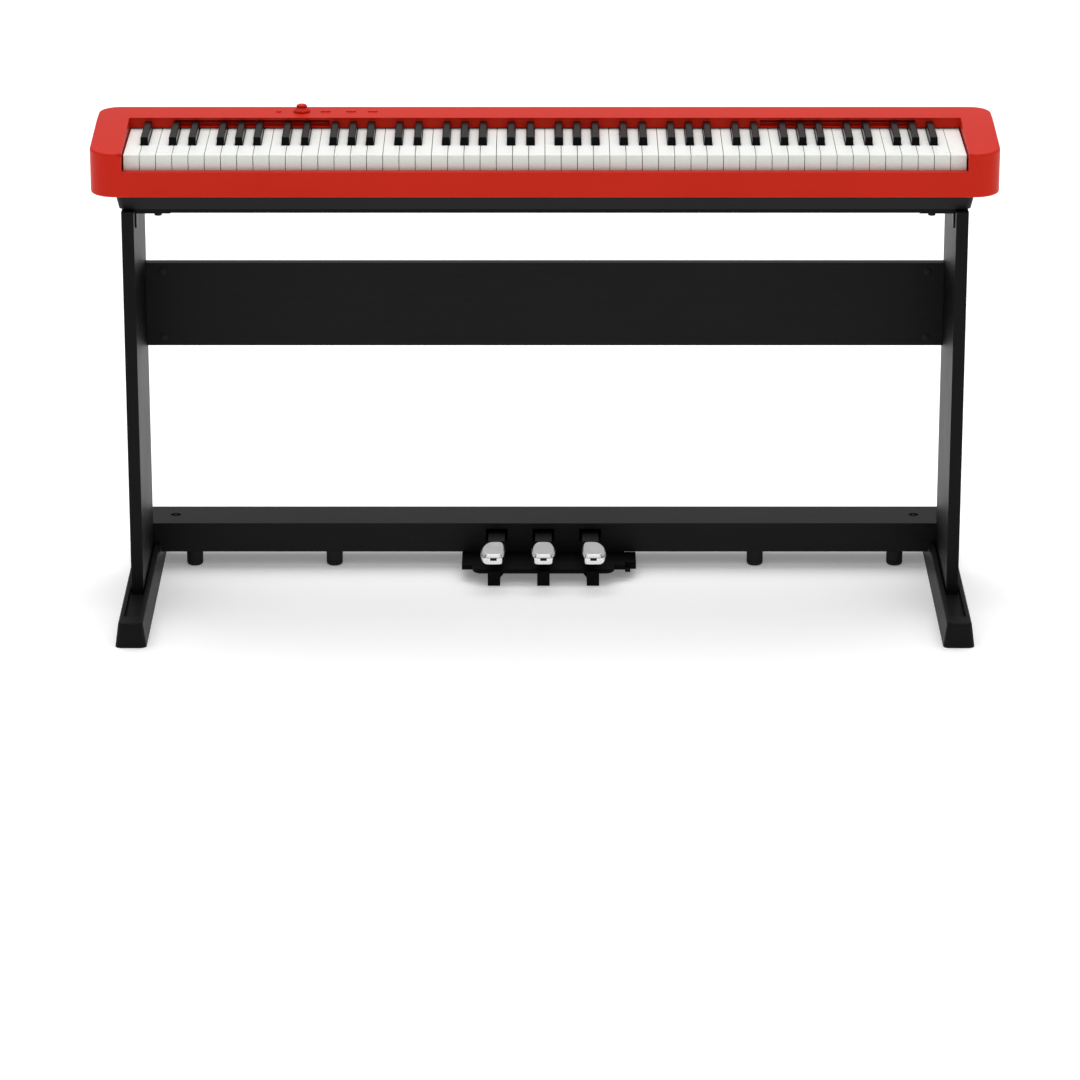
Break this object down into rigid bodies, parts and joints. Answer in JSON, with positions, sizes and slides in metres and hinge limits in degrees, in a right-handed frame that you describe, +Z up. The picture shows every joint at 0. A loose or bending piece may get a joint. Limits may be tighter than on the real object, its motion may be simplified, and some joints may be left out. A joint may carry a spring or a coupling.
{
  "type": "digital piano on stand",
  "caption": "Slim digital piano with a full-size keyboard in a red case, on a black two-legged board stand with a low beam and a sustain-style pedal unit.",
  "frame": {"origin": "centre of the footprint, on the floor", "axes": "+X from the bass end to the treble end, +Y from the player towards the back, +Z up"},
  "size_m": [1.322, 0.456, 0.733],
  "materials": {
    "case_red": "satin moulded plastic",
    "case_black": "fine textured plastic",
    "key_white": "satin",
    "key_black": "semi-gloss",
    "stand_board": "satin black foil on board",
    "foot_plastic": "matte",
    "rail_steel": "black powder coat",
    "chrome": "polished",
    "steel": "zinc plated",
    "rubber": "matte",
    "felt": "pressed felt",
    "circuit_board": "solder mask",
    "speaker_black": "paper cone and steel basket",
    "chassis_grey": "moulded"
  },
  "bodies": {
    "stand_and_case": {"back_panel": "stand_board", "bass_black_keys": "key_black", "bass_white_keys": "key_white", "beam_pegs": "foot_plastic", "cam_locks": "steel", "case_screws": "steel", "contact_board": "circuit_board", "key_chassis": "chassis_grey", "key_pivot_rod": "steel", "key_stop_felts": "felt", "knob_bolts": "case_black", "left_foot": "foot_plastic", "left_leg": "stand_board", "left_pedal_spring": "steel", "left_speaker": "speaker_black", "leg_brackets": "rail_steel", "lower_case": "case_black", "main_board": "circuit_board", "middle_pedal_spring": "steel", "panel_board": "circuit_board", "pedal_base_plate": "foot_plastic", "pedal_beam_front": "stand_board", "pedal_beam_rear": "stand_board", "pedal_beam_top": "stand_board", "pedal_connector": "foot_plastic", "pedal_pivot_rod": "steel", "pedal_posts": "foot_plastic", "rear_sockets": "case_black", "rest_pads": "rubber", "right_foot": "foot_plastic", "right_leg": "stand_board", "right_pedal_spring": "steel", "right_speaker": "speaker_black", "screw_caps": "foot_plastic", "speaker_grilles": "case_red", "support_rails": "rail_steel", "treble_black_keys": "key_black", "treble_white_keys": "key_white", "upper_case": "case_red", "volume_pot": "steel"},
    "c_key": {"c_key": "key_white"},
    "c_sharp_key": {"c_sharp_key": "key_black"},
    "d_key": {"d_key": "key_white"},
    "d_sharp_key": {"d_sharp_key": "key_black"},
    "e_key": {"e_key": "key_white"},
    "f_key": {"f_key": "key_white"},
    "f_sharp_key": {"f_sharp_key": "key_black"},
    "g_key": {"g_key": "key_white"},
    "g_sharp_key": {"g_sharp_key": "key_black"},
    "a_key": {"a_key": "key_white"},
    "a_sharp_key": {"a_sharp_key": "key_black"},
    "b_key": {"b_key": "key_white"},
    "left_pedal": {"left_pedal": "chrome"},
    "middle_pedal": {"middle_pedal": "chrome"},
    "right_pedal": {"right_pedal": "chrome"},
    "volume_knob": {"volume_knob": "case_red"},
    "power_button": {"power_button": "case_red"},
    "metronome_button": {"metronome_button": "case_red"},
    "voice_button": {"voice_button": "case_red"},
    "song_button": {"song_button": "case_red"}
  },
  "joints": [
    {"name": "c_key_press", "type": "hinge", "parent": "stand_and_case", "child": "c_key", "pos_m": [0, 0.125, 0.698], "axis": [1, 0, 0], "range_deg": [0, 2.85], "stiffness_Nm_per_rad": 0.4, "springref_deg": -11.46},
    {"name": "c_sharp_key_press", "type": "hinge", "parent": "stand_and_case", "child": "c_sharp_key", "pos_m": [0, 0.125, 0.698], "axis": [1, 0, 0], "range_deg": [0, 3.5], "stiffness_Nm_per_rad": 0.4, "springref_deg": -11.46},
    {"name": "d_key_press", "type": "hinge", "parent": "stand_and_case", "child": "d_key", "pos_m": [0, 0.125, 0.698], "axis": [1, 0, 0], "range_deg": [0, 2.85], "stiffness_Nm_per_rad": 0.4, "springref_deg": -11.46},
    {"name": "d_sharp_key_press", "type": "hinge", "parent": "stand_and_case", "child": "d_sharp_key", "pos_m": [0, 0.125, 0.698], "axis": [1, 0, 0], "range_deg": [0, 3.5], "stiffness_Nm_per_rad": 0.4, "springref_deg": -11.46},
    {"name": "e_key_press", "type": "hinge", "parent": "stand_and_case", "child": "e_key", "pos_m": [0, 0.125, 0.698], "axis": [1, 0, 0], "range_deg": [0, 2.85], "stiffness_Nm_per_rad": 0.4, "springref_deg": -11.46},
    {"name": "f_key_press", "type": "hinge", "parent": "stand_and_case", "child": "f_key", "pos_m": [0, 0.125, 0.698], "axis": [1, 0, 0], "range_deg": [0, 2.85], "stiffness_Nm_per_rad": 0.4, "springref_deg": -11.46},
    {"name": "f_sharp_key_press", "type": "hinge", "parent": "stand_and_case", "child": "f_sharp_key", "pos_m": [0, 0.125, 0.698], "axis": [1, 0, 0], "range_deg": [0, 3.5], "stiffness_Nm_per_rad": 0.4, "springref_deg": -11.46},
    {"name": "g_key_press", "type": "hinge", "parent": "stand_and_case", "child": "g_key", "pos_m": [0, 0.125, 0.698], "axis": [1, 0, 0], "range_deg": [0, 2.85], "stiffness_Nm_per_rad": 0.4, "springref_deg": -11.46},
    {"name": "g_sharp_key_press", "type": "hinge", "parent": "stand_and_case", "child": "g_sharp_key", "pos_m": [0, 0.125, 0.698], "axis": [1, 0, 0], "range_deg": [0, 3.5], "stiffness_Nm_per_rad": 0.4, "springref_deg": -11.46},
    {"name": "a_key_press", "type": "hinge", "parent": "stand_and_case", "child": "a_key", "pos_m": [0, 0.125, 0.698], "axis": [1, 0, 0], "range_deg": [0, 2.85], "stiffness_Nm_per_rad": 0.4, "springref_deg": -11.46},
    {"name": "a_sharp_key_press", "type": "hinge", "parent": "stand_and_case", "child": "a_sharp_key", "pos_m": [0, 0.125, 0.698], "axis": [1, 0, 0], "range_deg": [0, 3.5], "stiffness_Nm_per_rad": 0.4, "springref_deg": -11.46},
    {"name": "b_key_press", "type": "hinge", "parent": "stand_and_case", "child": "b_key", "pos_m": [0, 0.125, 0.698], "axis": [1, 0, 0], "range_deg": [0, 2.85], "stiffness_Nm_per_rad": 0.4, "springref_deg": -11.46},
    {"name": "left_pedal_press", "type": "hinge", "parent": "stand_and_case", "child": "left_pedal", "pos_m": [0, 0.18, 0.0495], "axis": [1, 0, 0], "range_deg": [0, 5.5], "stiffness_Nm_per_rad": 8, "springref_deg": -8.59, "deforming": ["left_pedal_spring"]},
    {"name": "middle_pedal_press", "type": "hinge", "parent": "stand_and_case", "child": "middle_pedal", "pos_m": [0, 0.18, 0.0495], "axis": [1, 0, 0], "range_deg": [0, 5.5], "stiffness_Nm_per_rad": 8, "springref_deg": -8.59, "deforming": ["middle_pedal_spring"]},
    {"name": "right_pedal_press", "type": "hinge", "parent": "stand_and_case", "child": "right_pedal", "pos_m": [0, 0.18, 0.0495], "axis": [1, 0, 0], "range_deg": [0, 5.5], "stiffness_Nm_per_rad": 8, "springref_deg": -8.59, "deforming": ["right_pedal_spring"]},
    {"name": "volume_turn", "type": "hinge", "parent": "stand_and_case", "child": "volume_knob", "pos_m": [-0.36, 0.11, 0.722], "axis": [0, 0, 1], "range_deg": [-150, 150]},
    {"name": "power_button_press", "type": "slide", "parent": "stand_and_case", "child": "power_button", "axis": [0, 0, -1], "range_m": [0, 0.001], "stiffness_N_per_m": 400, "springref_m": -0.002},
    {"name": "metronome_button_press", "type": "slide", "parent": "stand_and_case", "child": "metronome_button", "axis": [0, 0, -1], "range_m": [0, 0.001], "stiffness_N_per_m": 400, "springref_m": -0.002},
    {"name": "voice_button_press", "type": "slide", "parent": "stand_and_case", "child": "voice_button", "axis": [0, 0, -1], "range_m": [0, 0.001], "stiffness_N_per_m": 400, "springref_m": -0.002},
    {"name": "song_button_press", "type": "slide", "parent": "stand_and_case", "child": "song_button", "axis": [0, 0, -1], "range_m": [0, 0.001], "stiffness_N_per_m": 400, "springref_m": -0.002}
  ]
}
